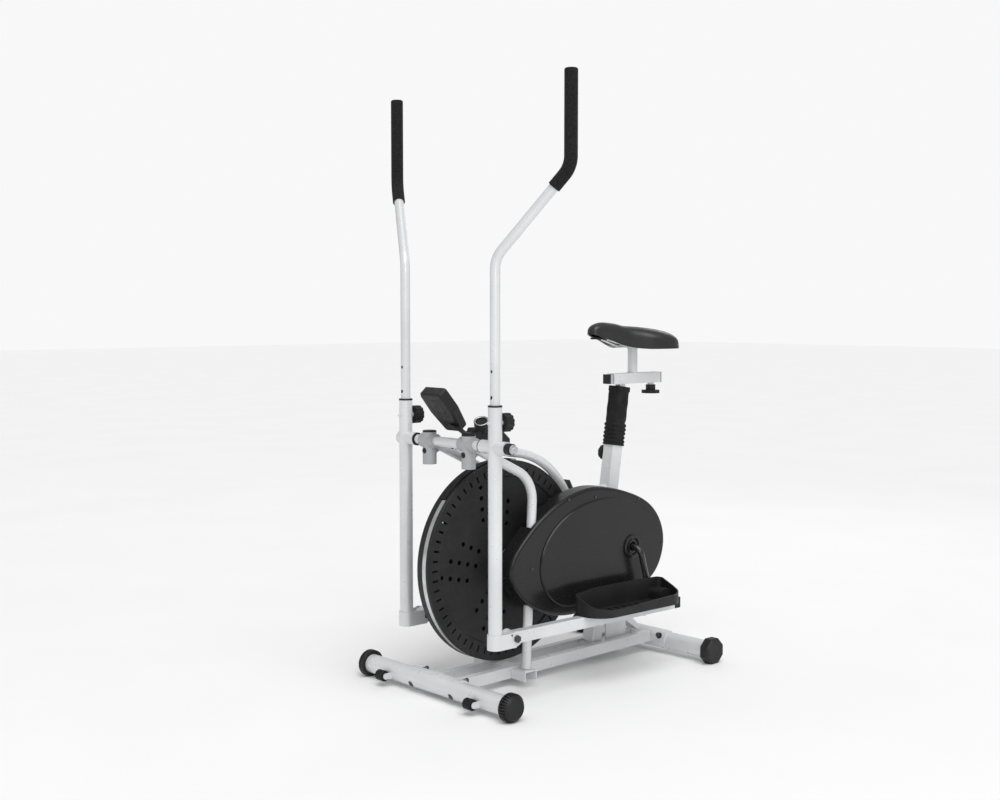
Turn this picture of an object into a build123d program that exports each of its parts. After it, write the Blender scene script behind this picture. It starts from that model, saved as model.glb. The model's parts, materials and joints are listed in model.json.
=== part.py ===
from build123d import *
import os
from math import asin, atan2, cos, degrees, hypot, pi, radians, sin

# Two-in-one elliptical trainer: swinging arms with handles, pedal links driven round by a crank,
# a chain-driven fan wheel and a saddle.  Millimetres, +X forward, +Y to the rider's left, +Z up,
# the origin on the floor under the middle of the machine.

# Places along the machine, counted back from the front foot
FRONT_X = 393.5
REAR_X = FRONT_X - 788.0
ARM_X = FRONT_X - 42.0
WHEEL_X = FRONT_X - 219.0
CRANK_X = FRONT_X - 615.0
FORK_X = FRONT_X - 241.0

# Heights of the main axes
FOOT_Z = 35.0
PIVOT_Z = 651.5
WHEEL_Z = 330.0
CRANK_Z = 332.0
TOP_Z = 1560.0

# Feet
FOOT_TUBE_D = 50.0
FOOT_CAP_D = 70.0
FRONT_HALF = 300.0
REAR_HALF = 268.0
CAP_LENGTH = 28.0
TUBE_WALL = 2.0

# Rails and uprights
RAIL_HALF_GAP = 30.0
RAIL_WIDTH = 20.0
RAIL_HEIGHT = 30.0
RAIL_FRONT_Z = 33.0
RAIL_REAR_Z = 45.5
SEAT_TUBE = 40.0
SEAT_LEAN = 8.6
SEAT_TUBE_TOP = 610.0

# Fork, arch and crosshead
FORK_Y = 76.0
FORK_D = 25.0
ARCH_D = 25.0
ARCH_BENDS = [245.0, 32.0]
CROSS_D = 25.0
CROSS_HALF = 125.0
SOCKET_Y = 77.5
SOCKET_D = 36.0
SOCKET_BORE = 27.0
SOCKET_DROP = 61.0

# Wheel and chain drive
WHEEL_R = 265.0
WHEEL_HALF = 21.7
HUB_R = 27.0
CHAIN_Y = 38.6
CHAIN_PITCH = 12.7
RING_TEETH = 40
SPROCKET_TEETH = 14
SLOTS = 60
HOLE_GROUPS = 5

# Arms, links and crank
ARM_Y = 177.0
ARM_D = 35.0
ARM_TOP = 751.0
ARM_FOOT = 150.0
ARM_SLEEVE_D = 34.0
PIVOT_SHAFT_D = 12.0
LINK_X = FRONT_X - 96.0
LINK_Z = 172.0
LINK_WIDTH = 24.0
LINK_HEIGHT = 30.0
LINK_REAR = FRONT_X - 703.0
CRANK_R = 140.0
CRANK_PLANE = 137.0
CRANK_D = 17.0
HANDLE_D = 25.4
GRIP_D = 33.0
KNOB_Z = 712.0

# Saddle
POST_D = 32.0
BELLOWS_TOP = 770.0
SLIDER = 30.0
SLIDER_Z = 793.0
SLIDER_FRONT = FRONT_X - 638.0
SLIDER_REAR = FRONT_X - 834.0
RAIL_FRONT = FRONT_X - 625.0
SADDLE_X = FRONT_X - 729.0
SADDLE_NOSE = FRONT_X - 553.0
SADDLE_TAIL = FRONT_X - 842.0


# ---- small builders ----

def save(name, *solids):
    """Write one named piece, made of one or more solids."""
    shape = solids[0] if len(solids) == 1 else Compound(children=list(solids))
    export_step(shape, f"parts/{name}.step")


def rod(start, end, diameter):
    """A round bar between two points."""
    a, b = Vector(*start), Vector(*end)
    return extrude(Plane(origin=a, z_dir=b - a) * Circle(diameter / 2), (b - a).length)


def pipe(start, end, diameter, bore):
    """A straight round tube between two points."""
    a, b = Vector(*start), Vector(*end)
    ring = Circle(diameter / 2) - Circle(bore / 2)
    return extrude(Plane(origin=a, z_dir=b - a) * ring, (b - a).length)


def bent_rod(points, radii, diameter):
    """A round bar swept along straight runs joined by arcs."""
    path = FilletPolyline(*points, radius=radii)
    return sweep(Plane(origin=path @ 0, z_dir=path % 0) * Circle(diameter / 2), path=path)


def bent_tube(points, radii, diameter, wall=TUBE_WALL):
    """A round tube swept along straight runs joined by arcs."""
    return bent_rod(points, radii, diameter) - bent_rod(points, radii, diameter - 2 * wall)


def box(x, y, z):
    """A block from three (low, high) pairs."""
    size = [pair[1] - pair[0] for pair in (x, y, z)]
    middle = [(pair[0] + pair[1]) / 2 for pair in (x, y, z)]
    return Pos(*middle) * Box(*size)


def side(shape, hand):
    """The left-hand shape itself, or its mirror image on the right."""
    return shape if hand > 0 else mirror(shape, about=Plane.XZ)


def both(shape):
    """The left-hand shape and its mirror image."""
    return [side(shape, 1), side(shape, -1)]


def across(x, z, y_from, y_to, diameter):
    """A round bar lying across the machine."""
    return rod((x, y_from, z), (x, y_to, z), diameter)


def hex_head(plane, across_flats, height):
    """A hexagonal head standing on a plane."""
    return extrude(plane * RegularPolygon(across_flats / 2, 6, major_radius=False), height)


def seat_axis(z):
    """The point of the leaning seat tube's axis at a height."""
    return (CRANK_X + 6 - (z - CRANK_Z) * sin(radians(SEAT_LEAN)) / cos(radians(SEAT_LEAN)), 0, z)


def seat_plane(z):
    """The plane square to the seat tube at a height."""
    lean = radians(SEAT_LEAN)
    return Plane(origin=seat_axis(z), x_dir=(cos(lean), 0, sin(lean)), z_dir=(-sin(lean), 0, cos(lean)))


# ---- base ----

def rail_plane():
    """The plane of the rails' front ends, square to their slight rise to the rear."""
    start = Vector(FRONT_X - 15, 0, RAIL_FRONT_Z)
    end = Vector(REAR_X + 30, 0, RAIL_REAR_Z)
    return Plane(origin=start, x_dir=(0, 1, 0), z_dir=end - start), (end - start).length


def base_rails():
    plane, length = rail_plane()
    hollow = Rectangle(RAIL_WIDTH, RAIL_HEIGHT) - Rectangle(RAIL_WIDTH - 3, RAIL_HEIGHT - 3)
    middle = RAIL_HALF_GAP + RAIL_WIDTH / 2
    rails = [extrude(plane * Pos(y, 0) * hollow, length) for y in (-middle, middle)]
    feet = [across(x, FOOT_Z, -100, 100, FOOT_TUBE_D + 8.1) for x in (FRONT_X, REAR_X)]
    return [rail - feet for rail in rails]


def cross_channels():
    """Channels between and outside the rails that carry the fork's feet, open underneath."""
    width, top, bottom, sheet = 42.0, 47.0, 20.5, 3.0
    x = (FORK_X - 14, FORK_X - 14 + width)
    inner = (x[0] + sheet, x[1] - sheet)
    outside = RAIL_HALF_GAP + RAIL_WIDTH + 0.2
    solids = []
    for y in ((-RAIL_HALF_GAP + 0.2, RAIL_HALF_GAP - 0.2), (outside, 102.0), (-102.0, -outside)):
        block = box(x, y, (bottom, top))
        solids.append(block - box(inner, (y[0] - 1, y[1] + 1), (bottom - 1, top - sheet)))
    return solids


def foot_tube(x, half):
    y = half - CAP_LENGTH + 12
    return pipe((x, -y, FOOT_Z), (x, y, FOOT_Z), FOOT_TUBE_D, FOOT_TUBE_D - 2 * TUBE_WALL)


def saddle_plate(x, towards):
    """A pressed plate that wraps the foot's tube on the rails' side."""
    bore, outside, half = FOOT_TUBE_D / 2 + 0.2, FOOT_TUBE_D / 2 + 4.0, 100.0
    ring = pipe((x, -half, FOOT_Z), (x, half, FOOT_Z), 2 * outside, 2 * bore)
    keep = box(sorted((x - towards * 8, x + towards * 40)), (-half, half), (FOOT_Z - 18, FOOT_Z + 40))
    plate = ring & keep
    for y in (-80, 80):
        plate -= foot_bolt_shank(x, y, towards, 9.0)
    return plate


def foot_bolt_line(x, y, towards):
    """The ends of a bolt that runs up through the foot towards the rails."""
    rise = radians(32)
    head = (x - towards * (FOOT_TUBE_D / 2 - 0.5) * cos(rise), y, FOOT_Z - (FOOT_TUBE_D / 2 - 0.5) * sin(rise))
    tail = (x + towards * 42 * cos(rise), y, FOOT_Z + 42 * sin(rise))
    return head, tail


def foot_bolt_shank(x, y, towards, diameter):
    head, tail = foot_bolt_line(x, y, towards)
    return rod(head, tail, diameter)


def foot_bolt(x, y, towards):
    """A domed carriage bolt with its washer and acorn nut, drawn up tight."""
    head, tail = foot_bolt_line(x, y, towards)
    axis = (Vector(*tail) - Vector(*head)).normalized()
    outward = Plane(origin=head, z_dir=-axis)
    dome = outward * (Pos(0, 0, -8.5) * Sphere(12.5) & Pos(0, 0, 2) * Box(30, 30, 4.0))
    dome -= across(x, FOOT_Z, -200, 200, FOOT_TUBE_D)
    seat = Vector(*head) + axis * (FOOT_TUBE_D / 2 - 0.5 + FOOT_TUBE_D / 2 + 4.4)
    washer = extrude(Plane(origin=seat, z_dir=axis) * Circle(9), 1.6)
    nut = hex_head(Plane(origin=seat + axis * 1.6, z_dir=axis), 13, 6.5)
    crown = Plane(origin=seat + axis * 8.1, z_dir=axis) * (Sphere(6.2) & Pos(0, 0, 4) * Box(14, 14, 8))
    return dome + foot_bolt_shank(x, y, towards, 8.0) + washer + nut + crown


def drilled_foot(x, half, towards):
    tube = foot_tube(x, half)
    for y in (-80, 80):
        tube -= foot_bolt_shank(x, y, towards, 9.0)
    return tube


def front_cap():
    """A round ribbed cap with a bevelled rim and a flat to stand on."""
    y = FRONT_HALF - CAP_LENGTH
    radius = FOOT_CAP_D / 2 + 0.5
    outline = [(0, 0), (0, CAP_LENGTH), (radius - 10, CAP_LENGTH), (radius - 7, CAP_LENGTH - 2.5),
               (radius, CAP_LENGTH - 11), (radius, 1.5), (radius - 1.5, 0)]
    profile = make_face(Polyline(*outline, close=True))
    cap = Pos(FRONT_X, y, FOOT_Z) * revolve(profile, Axis.Y)
    rib_count, groove = 30, 3.2
    for k in range(rib_count):
        turn = Pos(FRONT_X, 0, FOOT_Z) * Rot(0, 360 / rib_count * (k + 0.5), 0)
        cap -= turn * Pos(0, y + CAP_LENGTH / 2 + 5, radius - 1) * Box(groove, CAP_LENGTH, 7)
    cap -= across(FRONT_X, FOOT_Z, y - 1, y + 12.2, FOOT_TUBE_D + 0.1)
    return cap & box((FRONT_X - 60, FRONT_X + 60), (0, 400), (0, 100))


def rear_cap():
    """An eight-sided cap that stands on one of its flats."""
    y = REAR_HALF - CAP_LENGTH
    plane = Plane(origin=(REAR_X, y, FOOT_Z), x_dir=(1, 0, 0), z_dir=(0, 1, 0))
    cap = extrude(plane * RegularPolygon(FOOT_Z, 8, major_radius=False, rotation=22.5), CAP_LENGTH)
    cap = chamfer(cap.faces().sort_by(Axis.Y)[-1].edges(), 5)
    return cap - across(REAR_X, FOOT_Z, y - 1, y + 12.2, FOOT_TUBE_D + 0.1)


ROLLER_X = FRONT_X + 41.0
ROLLER_Z = 29.0
ROLLER_Y = (163.0, 191.0)


def roller_bracket():
    """A cheek each side of the roller, welded to the foot, with the roller's pin."""
    cheek_t = 3.0
    solids = across(ROLLER_X, ROLLER_Z, ROLLER_Y[0] - 1 - cheek_t, ROLLER_Y[1] + 1 + cheek_t, 7.9)
    for y in (ROLLER_Y[0] - 1 - cheek_t, ROLLER_Y[1] + 1):
        strip = box((FRONT_X + 12, ROLLER_X), (y, y + cheek_t), (ROLLER_Z - 8, ROLLER_Z + 8))
        cheek = strip + across(ROLLER_X, ROLLER_Z, y, y + cheek_t, 16)
        solids += cheek - across(FRONT_X, FOOT_Z, y - 1, y + cheek_t + 1, FOOT_TUBE_D + 0.1)
    return solids


def roller():
    """A plain roller with a hollow at each face."""
    body = across(ROLLER_X, ROLLER_Z, ROLLER_Y[0], ROLLER_Y[1], 28.0)
    body = fillet(body.edges(), 2.0)
    return body - across(ROLLER_X, ROLLER_Z, ROLLER_Y[0] - 1, ROLLER_Y[1] + 1, 8.0)


# ---- uprights, fork and crosshead ----

def seat_tube():
    """The leaning square tube, open at the top for the seat post, with the crank shell through it."""
    foot = seat_plane(56)
    length = (SEAT_TUBE_TOP - 56) / cos(radians(SEAT_LEAN))
    corner = 4.0
    outer = extrude(foot * RectangleRounded(SEAT_TUBE, SEAT_TUBE, corner), length)
    bore = extrude(foot * RectangleRounded(SEAT_TUBE - 4, SEAT_TUBE - 4, corner - 2), length + 1)
    shell = across(CRANK_X, CRANK_Z, -33.0, 33.0, 56.0)
    inside = across(CRANK_X, CRANK_Z, -34.0, 34.0, 50.0)
    screw = lock_screw_line()
    return outer - bore + shell - inside - rod(screw[0], screw[1], 12.2)


def rear_supports():
    """The rear post, its gusset, the slanting stay and the plate that ties the rails together."""
    plate = box((FRONT_X - 700, FRONT_X - 540), (-RAIL_HALF_GAP + 0.2, RAIL_HALF_GAP - 0.2), (46.0, 51.0))
    post_x = FRONT_X - 665.0
    post = box((post_x - 20, post_x + 20), (-20, 20), (51, 282)) - box((post_x - 18, post_x + 18), (-18, 18), (40, 300))
    gusset = box((post_x + 20.2, CRANK_X + 12), (16, 20), (51, 215))
    stay_line = [(post_x - 20, 128), (post_x - 20, 98), (REAR_X + 50, 62), (REAR_X + 32, 62)]
    stay = extrude(Plane.XZ * make_face(Polyline(*stay_line, close=True)), 20, both=True)
    seat_block = extrude(seat_plane(30) * Rectangle(SEAT_TUBE + 0.1, SEAT_TUBE + 0.1), 300)
    return [plate - seat_block - post, post, gusset - seat_block, stay - post]


def bearing_cups():
    """The two pressed cups with their cones, either side of the crank shell."""
    solids = []
    for hand in (1, -1):
        cup = across(CRANK_X, CRANK_Z, 24, 33, 49.9) + across(CRANK_X, CRANK_Z, 33, 35.4, 55)
        solids.append(side(cup - across(CRANK_X, CRANK_Z, 20, 40, 22.4), hand))
    return solids


def arch_points():
    """The arch's route: back over the wheel from the cross tube, down, and back to the seat tube."""
    head = (ARM_X - CROSS_D / 2, 0, PIVOT_Z - 7)
    shoulder = (WHEEL_X - 178, 0, WHEEL_Z + 259)
    saddle_bend = (WHEEL_X - 247, 0, WHEEL_Z + 144)
    return [head, shoulder, saddle_bend, (seat_axis(484)[0] + 17, 0, 484)]


def arch_tube():
    """The tube that arches over the wheel and runs back to the seat tube."""
    arch = bent_tube(arch_points(), ARCH_BENDS, ARCH_D)
    seat_block = extrude(seat_plane(300) * Rectangle(SEAT_TUBE, SEAT_TUBE), 300)
    return arch - seat_block - across(ARM_X, PIVOT_Z, -30, 30, CROSS_D)


def fork_points():
    """The left fork tube's route in its own upright plane: foot, shoulder and head."""
    lean = radians(2.7)
    foot_z, shoulder_z = 47.65, 545.0
    shoulder_x = FORK_X - (shoulder_z - foot_z) * sin(lean) / cos(lean)
    head_x = ARM_X - CROSS_D / 2 + 0.5
    return [(FORK_X, FORK_Y, foot_z), (shoulder_x, FORK_Y, shoulder_z), (head_x, FORK_Y, PIVOT_Z - 6)]


def fork_loop():
    """One fork tube with the plate that carries the wheel's axle."""
    points = fork_points()
    tube = bent_tube(points, [88], FORK_D)
    inner = FORK_Y - FORK_D / 2
    plate = box((FORK_X - 28, WHEEL_X + 18), (inner - 4.5, inner - 0.5), (WHEEL_Z - 26, WHEEL_Z + 26))
    plate = fillet(plate.edges().filter_by(Axis.Y), 10)
    weld = box((FORK_X - 18, FORK_X - 2), (inner - 1, inner + 4), (WHEEL_Z - 20, WHEEL_Z + 20))
    weld -= bent_rod(points, [88], FORK_D - 1)
    plate -= across(WHEEL_X, WHEEL_Z, inner - 10, inner + 10, 10.2)
    cross = across(ARM_X, PIVOT_Z, 0, 200, CROSS_D + 0.2)
    return tube + weld + plate - cross


def cross_tube():
    return pipe((ARM_X, -CROSS_HALF, PIVOT_Z), (ARM_X, CROSS_HALF, PIVOT_Z), CROSS_D, PIVOT_SHAFT_D + 0.2)


def t_socket():
    """A cast tee on the cross tube: a downward socket, its bolt hole and a thin stay behind it."""
    half = 27.0
    sleeve = across(ARM_X, PIVOT_Z, SOCKET_Y - half, SOCKET_Y + half, SOCKET_D + 1)
    top, bottom = PIVOT_Z + 22, PIVOT_Z - SOCKET_DROP
    stub = rod((ARM_X, SOCKET_Y, bottom), (ARM_X, SOCKET_Y, top), SOCKET_D)
    body = sleeve + stub
    body -= across(ARM_X, PIVOT_Z, SOCKET_Y - half - 1, SOCKET_Y + half + 1, CROSS_D + 0.1)
    floor = PIVOT_Z - CROSS_D / 2 - 5
    body -= rod((ARM_X, SOCKET_Y, bottom - 1), (ARM_X, SOCKET_Y, floor), SOCKET_BORE)
    body -= rod((ARM_X - 40, SOCKET_Y, floor - 8), (ARM_X + 40, SOCKET_Y, floor - 8), 8.5)
    gap = bent_rod([(p[0], FORK_Y, p[2]) for p in fork_points()], [88], FORK_D + 0.6)
    strut = rod((ARM_X - 12, SOCKET_Y, bottom + 27), (ARM_X - 52, SOCKET_Y, bottom + 46), 9)
    strut -= rod((ARM_X, SOCKET_Y, bottom - 1), (ARM_X, SOCKET_Y, top), SOCKET_D - 1)
    return (body + strut) - gap


def socket_cap():
    top = PIVOT_Z + 22
    cap = rod((ARM_X, SOCKET_Y, top + 0.05), (ARM_X, SOCKET_Y, top + 4.5), SOCKET_D)
    return fillet(cap.faces().sort_by(Axis.Z)[-1].edges(), 2)


# ---- wheel ----

def hole_places():
    """Centres of the holes of one fifth of a disc: three slanting rows, as (radius, angle)."""
    rows = ((3, 98, 20.5, 24.0), (4, 102, -1.6, 14.5), (4, 137, -16.0, 12.0))
    pitch = 29.0
    places = []
    for count, radius, angle, heading in rows:
        x, y = radius * cos(radians(angle)), radius * sin(radians(angle))
        for k in range(count):
            px = x + k * pitch * cos(radians(heading))
            py = y + k * pitch * sin(radians(heading))
            places.append((hypot(px, py), degrees(atan2(py, px))))
    return places


def disc(rim_from, rim_to):
    """A moulded disc with a stepped face; rim_from and rim_to bound its rim across the wheel."""
    face, web, step = WHEEL_HALF, 3.0, 3.2
    outline = [(HUB_R, face - step - web), (WHEEL_R - 4, face - step - web), (WHEEL_R - 4, rim_from),
               (WHEEL_R, rim_from), (WHEEL_R, rim_to - 1.5), (WHEEL_R - 1.5, rim_to),
               (WHEEL_R - 42, rim_to), (WHEEL_R - 44, face - step), (HUB_R, face - step)]
    profile = make_face(Polyline(*outline, close=True))
    return revolve(profile, Axis.Y)


def pierce(body):
    """Cut the ring of radial slots and the five groups of round holes."""
    slot = Pos(WHEEL_R - 24, 0, 0) * Box(17, 80, 5.0)
    cuts = [Rot(0, 360 / SLOTS * k, 0) * slot for k in range(SLOTS)]
    for group in range(HOLE_GROUPS):
        for radius, angle in hole_places():
            turn = Rot(0, -(angle + 360 / HOLE_GROUPS * group), 0)
            cuts.append(turn * Pos(radius, 0, 0) * Rot(90, 0, 0) * Cylinder(6.2, 80))
    return body - cuts


def wheel_discs():
    """The left disc and the deeper right one, with the bright band's width left between their rims."""
    place = Pos(WHEEL_X, 0, WHEEL_Z)
    left = pierce(disc(13.0, WHEEL_HALF))
    half_group = Rot(0, 180 / HOLE_GROUPS, 0)
    right = mirror(half_group * pierce(disc(2.0, WHEEL_HALF)), about=Plane.XZ)
    return [place * left, place * right]


def wheel_rim():
    """The steel band between the discs' rims, with an inward flange each side."""
    outline = [(WHEEL_R - 18, -1.8), (WHEEL_R - 0.6, -1.8), (WHEEL_R - 0.6, 12.8), (WHEEL_R - 18, 12.8)]
    return Pos(WHEEL_X, 0, WHEEL_Z) * revolve(make_face(Polyline(*outline, close=True)), Axis.Y)


def wheel_hub():
    """The hub barrel with a flange for each disc."""
    barrel = across(WHEEL_X, WHEEL_Z, -31.5, 31.5, 30) + across(WHEEL_X, WHEEL_Z, -15.2, 15.2, 2 * HUB_R + 34)
    barrel += across(WHEEL_X, WHEEL_Z, -18.3, 18.3, 2 * HUB_R - 0.1)
    return barrel - across(WHEEL_X, WHEEL_Z, -40, 40, 10.1)


def toothed(teeth, thickness, bore):
    """A chain wheel with round roots, centred on the origin, its axis along Y."""
    pitch_r = CHAIN_PITCH / 2 / sin(pi / teeth)
    blank = Rot(90, 0, 0) * Cylinder(pitch_r + 4.2, thickness)
    cuts = [Rot(90, 0, 0) * Cylinder(bore / 2, thickness + 2)]
    for k in range(teeth):
        cuts.append(Rot(0, 360 / teeth * k, 0) * Pos(pitch_r, 0, 0) * Rot(90, 0, 0) * Cylinder(4.1, thickness + 2))
    return blank - cuts


def sprocket():
    return Pos(WHEEL_X, CHAIN_Y, WHEEL_Z) * (toothed(SPROCKET_TEETH, 3, 12) +
                                             Pos(0, -4.3, 0) * Rot(90, 0, 0) * (Cylinder(20, 5.6) - Cylinder(6, 7)))


def chainring():
    """The chainring, with five round windows between its hub and its teeth."""
    ring = toothed(RING_TEETH, 3, CRANK_D)
    for k in range(5):
        ring -= Rot(0, 72 * k, 0) * Pos(46, 0, 0) * Rot(90, 0, 0) * Cylinder(17, 5)
    return Pos(CRANK_X, CHAIN_Y, CRANK_Z) * ring


def chain():
    """The chain as one plain band round both chain wheels."""
    large = CHAIN_PITCH / 2 / sin(pi / RING_TEETH)
    small = CHAIN_PITCH / 2 / sin(pi / SPROCKET_TEETH)
    solids = []
    for grow in (4.6 + 4.6, 4.6):
        big = Pos(CRANK_X, -CRANK_Z) * Circle(large + grow)
        little = Pos(WHEEL_X, -WHEEL_Z) * Circle(small + grow)
        solids.append(make_hull((big.edges() + little.edges())))
    band = extrude(Plane(origin=(0, CHAIN_Y + 3.7, 0), x_dir=(1, 0, 0), z_dir=(0, -1, 0)) *
                   mirror(solids[0] - solids[1], about=Plane.XZ), 7.5)
    return band


def wheel_axle():
    """The wheel's fixed axle with a nut outside each fork plate."""
    half = FORK_Y - FORK_D / 2 - 0.5
    solids = across(WHEEL_X, WHEEL_Z, -half - 12, half + 12, 10)
    for hand in (1, -1):
        plane = Plane(origin=(WHEEL_X, hand * half, WHEEL_Z), z_dir=(0, hand, 0))
        solids += hex_head(plane, 15, 7)
    return solids


# ---- crank, arms and links ----

def crank_pin(hand):
    """The crank pin's place at rest: the cranks stand square to the line from link pivot to crank."""
    dx, dz = CRANK_X - LINK_X, CRANK_Z - LINK_Z
    reach = hypot(dx, dz)
    return CRANK_X - hand * CRANK_R * dz / reach, CRANK_Z + hand * CRANK_R * dx / reach


def link_tilt(hand):
    """How far a link rises to the rear at rest, in degrees."""
    low = crank_pin(1)
    pin = crank_pin(hand)
    flat = degrees(atan2(low[1] - LINK_Z, LINK_X - low[0]))
    return degrees(atan2(pin[1] - LINK_Z, LINK_X - pin[0])) - flat


def crank():
    """The one-piece crank, bent from round bar, with an eye at each end."""
    left, right = crank_pin(1), crank_pin(-1)
    points = [(right[0], -CRANK_PLANE, right[1]), (CRANK_X, -CRANK_PLANE, CRANK_Z),
              (CRANK_X, CRANK_PLANE, CRANK_Z), (left[0], CRANK_PLANE, left[1])]
    body = bent_rod(points, [24, 24], CRANK_D)
    for hand, pin in ((1, left), (-1, right)):
        eye = across(*pin, hand * (CRANK_PLANE - 10), hand * (CRANK_PLANE + 12.5), 32)
        body += eye
        body -= across(*pin, hand * (CRANK_PLANE - 11), hand * (CRANK_PLANE + 13), 12.4)
    return body


def sleeve_end(hand):
    """Where the pivot sleeve ends: it stands out beyond the left arm and is cut flush on the right."""
    return 222.0 if hand > 0 else 198.0


def arm(hand):
    """A swinging arm: tube, pivot sleeve, knob boss and the yoke that holds the link."""
    sleeve = across(ARM_X, PIVOT_Z, 130, sleeve_end(hand), ARM_SLEEVE_D)
    tube = rod((ARM_X, ARM_Y, ARM_FOOT), (ARM_X, ARM_Y, ARM_TOP), ARM_D)
    tube -= rod((ARM_X, ARM_Y, ARM_FOOT - 1), (ARM_X, ARM_Y, ARM_TOP + 1), ARM_D - 2 * TUBE_WALL)
    boss = rod((ARM_X - 20, ARM_Y, KNOB_Z), (ARM_X - 15.6, ARM_Y, KNOB_Z), 16)
    nub = rod((ARM_X + 15.6, ARM_Y, KNOB_Z), (ARM_X + 24, ARM_Y, KNOB_Z), 7)
    body = tube + sleeve + boss + nub
    body -= rod((ARM_X - 40, ARM_Y, KNOB_Z), (ARM_X, ARM_Y, KNOB_Z), 8.4)
    body -= across(ARM_X, PIVOT_Z, 129, sleeve_end(hand) + 1, 24)
    ring = rod((ARM_X, ARM_Y, ARM_FOOT), (ARM_X, ARM_Y, ARM_FOOT + 38), ARM_D + 6)
    front = ring & box((ARM_X, ARM_X + 30), (ARM_Y - 30, ARM_Y + 30), (100, 300))
    cheeks = box((LINK_X, ARM_X), (ARM_Y - ARM_D / 2 - 3, ARM_Y + ARM_D / 2 + 3), (ARM_FOOT, ARM_FOOT + 38))
    round_end = across(LINK_X, LINK_Z, ARM_Y - ARM_D / 2 - 3, ARM_Y + ARM_D / 2 + 3, 38)
    slot = box((LINK_X - 30, ARM_X), (ARM_Y - ARM_D / 2, ARM_Y + ARM_D / 2), (ARM_FOOT - 10, ARM_FOOT + 50))
    yoke = (front + ((cheeks + round_end) - slot)) - rod((ARM_X, ARM_Y, 100), (ARM_X, ARM_Y, 300), ARM_D)
    yoke -= across(LINK_X, LINK_Z, ARM_Y - 30, ARM_Y + 30, 10)
    return body + yoke


def bushing_end(hand):
    return sleeve_end(hand) + (18.0 if hand > 0 else 0.8)


def arm_bushing(hand):
    """The black liner of the pivot sleeve, flanged inside and outside."""
    outside = bushing_end(hand)
    liner = across(ARM_X, PIVOT_Z, 127.3, outside, 24)
    liner += across(ARM_X, PIVOT_Z, 127.3, 130, 34) + across(ARM_X, PIVOT_Z, sleeve_end(hand), outside, 28)
    return liner - across(ARM_X, PIVOT_Z, 120, 250, PIVOT_SHAFT_D + 0.16)


def arm_collar():
    """The black guide in the arm's mouth that the handle slides through."""
    top = rod((ARM_X, ARM_Y, ARM_TOP), (ARM_X, ARM_Y, ARM_TOP + 4), ARM_D + 1)
    sleeve = rod((ARM_X, ARM_Y, ARM_TOP - 70), (ARM_X, ARM_Y, ARM_TOP), ARM_D - 2 * TUBE_WALL)
    bore = rod((ARM_X, ARM_Y, ARM_TOP - 80), (ARM_X, ARM_Y, ARM_TOP + 10), HANDLE_D + 0.18)
    return top + sleeve - bore - rod((ARM_X - 40, ARM_Y, KNOB_Z), (ARM_X, ARM_Y, KNOB_Z), 8.4)


def arm_axle():
    """The shaft through the cross tube: washer and hex nut on the left, a flat rivet head on the right."""
    left, right = bushing_end(1) + 0.4, bushing_end(-1) + 0.4
    body = across(ARM_X, PIVOT_Z, -right, left, PIVOT_SHAFT_D)
    plane = Plane(origin=(ARM_X, left, PIVOT_Z), z_dir=(0, 1, 0))
    body += extrude(plane * Circle(12), 2) + hex_head(plane.offset(2), 18, 7)
    body += extrude(plane.offset(9) * Circle(5), 3)
    return body + across(ARM_X, PIVOT_Z, -right - 2.5, -right, 22)


def link_bolt():
    """The bolt through the yoke, with its head outside and its nut inside."""
    half = ARM_D / 2 + 3
    body = across(LINK_X, LINK_Z, ARM_Y - half, ARM_Y + half, 10)
    body += hex_head(Plane(origin=(LINK_X, ARM_Y + half, LINK_Z), z_dir=(0, 1, 0)), 17, 6.5)
    body += hex_head(Plane(origin=(LINK_X, ARM_Y - half, LINK_Z), z_dir=(0, -1, 0)), 17, 6)
    return body


def handle_route():
    return [(ARM_X, ARM_Y, PIVOT_Z + 18), (ARM_X, ARM_Y, 1113), (ARM_X - 99, ARM_Y + 160, 1328),
            (ARM_X - 99, ARM_Y + 160, TOP_Z - 4)]


def handle():
    """The bent handlebar, with two adjustment holes in its front and its lower end open."""
    bar = bent_tube(handle_route(), [70, 70], HANDLE_D)
    for z in (775, 838):
        bar -= rod((ARM_X, ARM_Y, z), (ARM_X + 20, ARM_Y, z), 8)
    return bar


def grip():
    """The foam grip with its closed, rounded end."""
    bend, top = handle_route()[2:]
    start = tuple(b + (a - b) * 0.22 for a, b in zip(handle_route()[1], bend))
    foam = bent_rod([start, bend, (top[0], top[1], TOP_Z)], [68], GRIP_D)
    foam = fillet(foam.faces().sort_by(Axis.Z)[-1].edges(), 5)
    return foam - bent_rod(handle_route(), [70, 70], HANDLE_D)


def lobed_knob(diameter, depth, lobes):
    """A hand knob along +Z with scallops round its rim and a dished face."""
    body = extrude(Circle(diameter / 2), depth)
    for k in range(lobes):
        body -= Rot(0, 0, 360 / lobes * k) * Pos(diameter * 0.53, 0, depth / 2) * Cylinder(diameter * 0.07, depth + 2)
    body -= Pos(0, 0, depth) * Cylinder(diameter * 0.3, 4)
    return body + Pos(0, 0, depth - 2) * Cylinder(diameter * 0.12, 4)


def handle_knob():
    """The knob behind the arm that locks the handle's height."""
    place = Plane(origin=(ARM_X - 20.4, ARM_Y, KNOB_Z), z_dir=(-1, 0, 0))
    stem = Plane(origin=(ARM_X - 16.6, ARM_Y, KNOB_Z), z_dir=(-1, 0, 0)) * extrude(Circle(4), 5)
    return place * lobed_knob(47, 24, 12) + stem


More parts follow.
